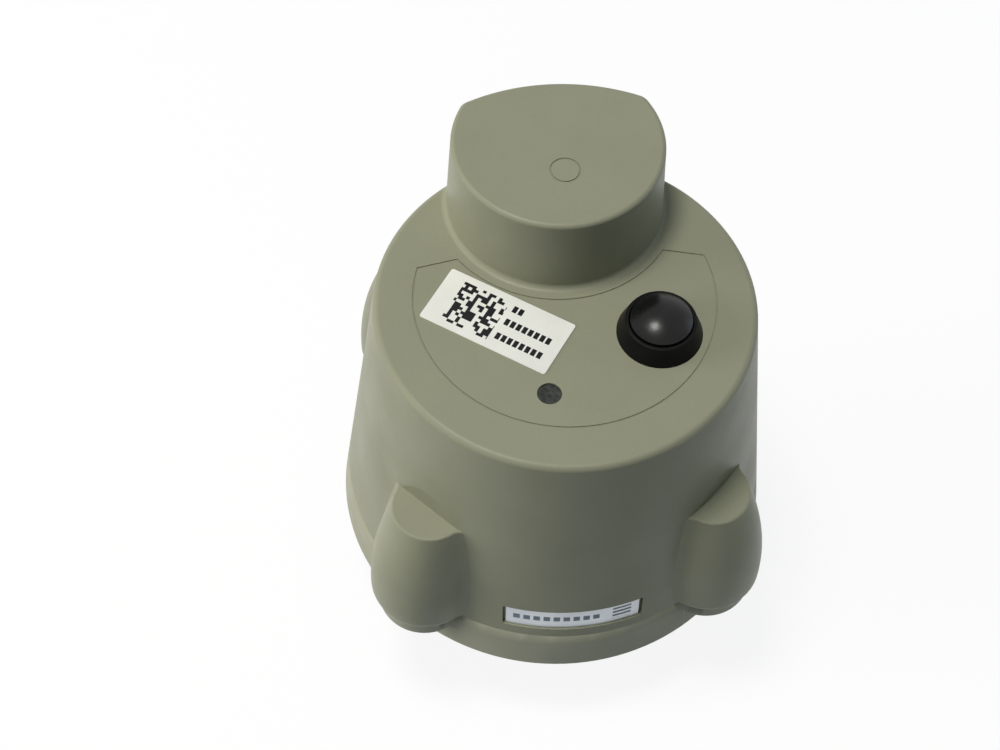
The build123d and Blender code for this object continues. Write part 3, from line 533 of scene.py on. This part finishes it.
for piece in frame["record"]["subparts"]:
    mesh = frame["nodes"][piece["node"]].data
    mesh.materials.clear()
    mesh.materials.append(ownFinishes.get(piece["node"], finishes[piece["material_slot"]]))
print("finishes made:", len(finishes) + len(ownFinishes))


# Copies of CAD pieces, which scene pieces start from
mergeDistance = 0.000001


def deselectAll():
    bpy.ops.object.select_all(action="DESELECT")


def makeActive(piece):
    deselectAll()
    piece.select_set(True)
    bpy.context.view_layer.objects.active = piece


def copyOfNode(name, node):
    # a copy of the CAD piece's mesh with its loose triangles joined, left active
    piece = bpy.data.objects.new(name, frame["nodes"][node].data.copy())
    bpy.context.scene.collection.objects.link(piece)
    makeActive(piece)
    bpy.ops.object.mode_set(mode="EDIT")
    bpy.ops.mesh.select_all(action="SELECT")
    bpy.ops.mesh.remove_doubles(threshold=mergeDistance)
    bpy.ops.object.mode_set(mode="OBJECT")
    return piece


# Base plate with the pipe thread cut into its spigot
threadCut = {
    "crestRadius": frame["record"]["mounts"][0]["dims"]["r_mm"] / 1000,
    "pitch": 0.002309,
    "depth": 0.00145,
    "standOff": 0.0002,
    "flankHeight": 0.00108,
    "profileCorners": 4,
    "startZ": -0.0009,
    "turns": 8,
    "steps": 96,
    "smoothAngle": radians(32),
}


def makeThreadCutter(cut):
    # a diamond beside the crest, swept up in a helix
    reach = cut["depth"] + cut["standOff"]
    deselectAll()
    bpy.ops.mesh.primitive_circle_add(
        vertices=cut["profileCorners"], radius=1, rotation=(radians(90), 0, 0),
        location=(cut["crestRadius"] + cut["standOff"], 0, cut["startZ"]),
    )
    cutter = bpy.context.active_object
    cutter.scale = (reach, cut["flankHeight"], 1)
    bpy.ops.object.transform_apply(location=True, rotation=True, scale=True)
    sweep = cutter.modifiers.new("sweep", "SCREW")
    sweep.axis = "Z"
    sweep.screw_offset = cut["pitch"]
    sweep.iterations = cut["turns"]
    sweep.steps = cut["steps"]
    sweep.render_steps = cut["steps"]
    bpy.ops.object.modifier_apply(modifier="sweep")
    bpy.ops.object.mode_set(mode="EDIT")
    bpy.ops.mesh.select_all(action="SELECT")
    bpy.ops.mesh.fill_holes(sides=cut["profileCorners"])
    bpy.ops.mesh.select_all(action="SELECT")
    bpy.ops.mesh.normals_make_consistent(inside=False)
    bpy.ops.object.mode_set(mode="OBJECT")
    return cutter


def makeThreadedBase(cut):
    base = copyOfNode("threaded_base", "base_plate")
    cutter = makeThreadCutter(cut)
    makeActive(base)
    groove = base.modifiers.new("groove", "BOOLEAN")
    groove.operation = "DIFFERENCE"
    groove.solver = "EXACT"
    groove.object = cutter
    bpy.ops.object.modifier_apply(modifier="groove")
    bpy.data.objects.remove(cutter)
    bpy.ops.object.shade_smooth_by_angle(angle=cut["smoothAngle"])
    evenSheen = base.modifiers.new("evenSheen", "WEIGHTED_NORMAL")
    evenSheen.keep_sharp = True
    bpy.ops.object.modifier_apply(modifier="evenSheen")
    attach(base, "housing")
    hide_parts("base_plate")
    return base


threadedBase = makeThreadedBase(threadCut)
print("thread cut, faces:", len(threadedBase.data.polygons))


# Button spring, a smooth-shaded copy of the CAD spring, fixed to the housing
pressedSpring = {
    "node": "button_spring",
    "joint": "button_press",
    "smoothAngle": radians(40),
}


def makePressedSpring(look):
    spring = copyOfNode("pressed_spring", look["node"])
    bpy.ops.object.shade_smooth_by_angle(angle=look["smoothAngle"])
    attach(spring, "housing")
    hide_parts(look["node"])
    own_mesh(spring)


makePressedSpring(pressedSpring)


# Floor, light and camera
stageLook = {
    "floorSize": 6.0,
    "floorColour": (0.25, 0.28, 0.30, 1),
    "floorRough": 0.9,
    "seenFloorColour": (0.97, 0.97, 0.97, 1),
    "whiteShare": 0.88,
    "worldColour": (0.76, 0.91, 1.0, 1),
    "worldStrength": 0.17,
    "white": (1, 1, 1, 1),
}
lamps = {
    "window": {
        "place": (-1.10, -0.02, 0.32),
        "size": 0.7,
        "power": 9.5,
        "colour": (1.0, 0.985, 0.94),
        "mirrored": False,
    },
    "overhead": {
        "place": (-0.25, 0.02, 1.28),
        "size": 0.36,
        "power": 10.3,
        "colour": (1.0, 0.99, 0.95),
        "mirrored": True,
    },
    "fill": {
        "place": (1.0, 0.2, 0.35),
        "size": 0.6,
        "power": 0.9,
        "colour": (0.62, 0.82, 1.0),
        "mirrored": True,
    },
}
cameraPlace = {
    "target": Vector((0, 0, 0.072)),
    "distance": 0.4398,
    "elevation": radians(56.41),
    "turn": radians(9.0),
    "roll": radians(4.68),
    "lens": 72,
    "sensor": 36,
    "shift": (-0.0612, -0.0129),
    "nearest": 0.01,
}


def seenByEye(finish):
    # 1 for rays from the camera, from mirrors and through glass
    rays = addNode(finish, "LightPath")
    direct = calc(finish, "MAXIMUM", rays.outputs["Is Camera Ray"], rays.outputs["Is Glossy Ray"])
    return calc(finish, "MAXIMUM", direct, rays.outputs["Is Transmission Ray"])


def makeFloor(look):
    # nearly white to the eye, while its own darker colour is what it throws back on the part
    deselectAll()
    bpy.ops.mesh.primitive_plane_add(size=look["floorSize"], location=(0, 0, cadLow.z))
    floor = bpy.context.active_object
    floor.name = "floor"
    finish, shader = newFinish("paleFloor", look["floorRough"], more={"Specular IOR Level": 0.0})
    seen = seenByEye(finish)
    colour = blendColours(finish, seen, look["floorColour"], look["seenFloorColour"])
    feed(finish, shader.inputs["Base Color"], colour)
    glow = addNode(finish, "Emission", {"Color": look["white"], "Strength": 1.0})
    share = calc(finish, "MULTIPLY", seen, look["whiteShare"])
    surface = addNode(finish, "MixShader", {0: share, 1: shader.outputs[0], 2: glow.outputs[0]})
    feed(finish, finish.node_tree.nodes["Material Output"].inputs["Surface"], surface.outputs[0])
    floor.data.materials.append(finish)


def makeWorld(look):
    # plain white to the eye, and a weak cool light on the part
    world = bpy.data.worlds.new("paleWorld")
    world.use_nodes = True
    bpy.context.scene.world = world
    soft = world.node_tree.nodes["Background"]
    soft.inputs["Color"].default_value = look["worldColour"]
    soft.inputs["Strength"].default_value = look["worldStrength"]
    plain = addNode(world, "Background", {"Color": look["white"], "Strength": 1.0})
    surface = addNode(world, "MixShader", {0: seenByEye(world), 1: soft.outputs[0], 2: plain.outputs[0]})
    feed(world, world.node_tree.nodes["World Output"].inputs["Surface"], surface.outputs[0])


def makeLamp(name, look):
    deselectAll()
    bpy.ops.object.light_add(type="AREA", location=look["place"])
    lamp = bpy.context.active_object
    lamp.name = name
    lamp.data.shape = "DISK"
    lamp.data.size = look["size"]
    lamp.data.energy = look["power"]
    lamp.data.color = look["colour"]
    lamp.visible_glossy = look["mirrored"]
    towards = cameraPlace["target"] - lamp.location
    lamp.rotation_euler = towards.to_track_quat("-Z", "Y").to_euler()


def makeCamera(place):
    # looks down on the target from the front, rolled, and then turned about the upright axis
    bpy.ops.object.camera_add()
    camera = bpy.context.active_object
    camera.data.lens = place["lens"]
    camera.data.sensor_width = place["sensor"]
    camera.data.shift_x, camera.data.shift_y = place["shift"]
    camera.data.clip_start = place["nearest"]
    back = Vector((0, -cos(place["elevation"]), sin(place["elevation"])))
    right = Vector((1, 0, 0))
    up = back.cross(right)
    rolledRight = right * cos(place["roll"]) + up * sin(place["roll"])
    rolledUp = up * cos(place["roll"]) - right * sin(place["roll"])
    axes = Matrix((rolledRight, rolledUp, back)).transposed()
    turn = Matrix.Rotation(-place["turn"], 3, "Z")
    spot = place["target"] + turn @ (back * place["distance"])
    camera.matrix_world = Matrix.Translation(spot) @ (turn @ axes).to_4x4()
    bpy.context.scene.camera = camera


makeFloor(stageLook)
makeWorld(stageLook)
for lampName, lampLook in lamps.items():
    makeLamp(lampName, lampLook)
makeCamera(cameraPlace)
print("floor, lamps and camera placed")
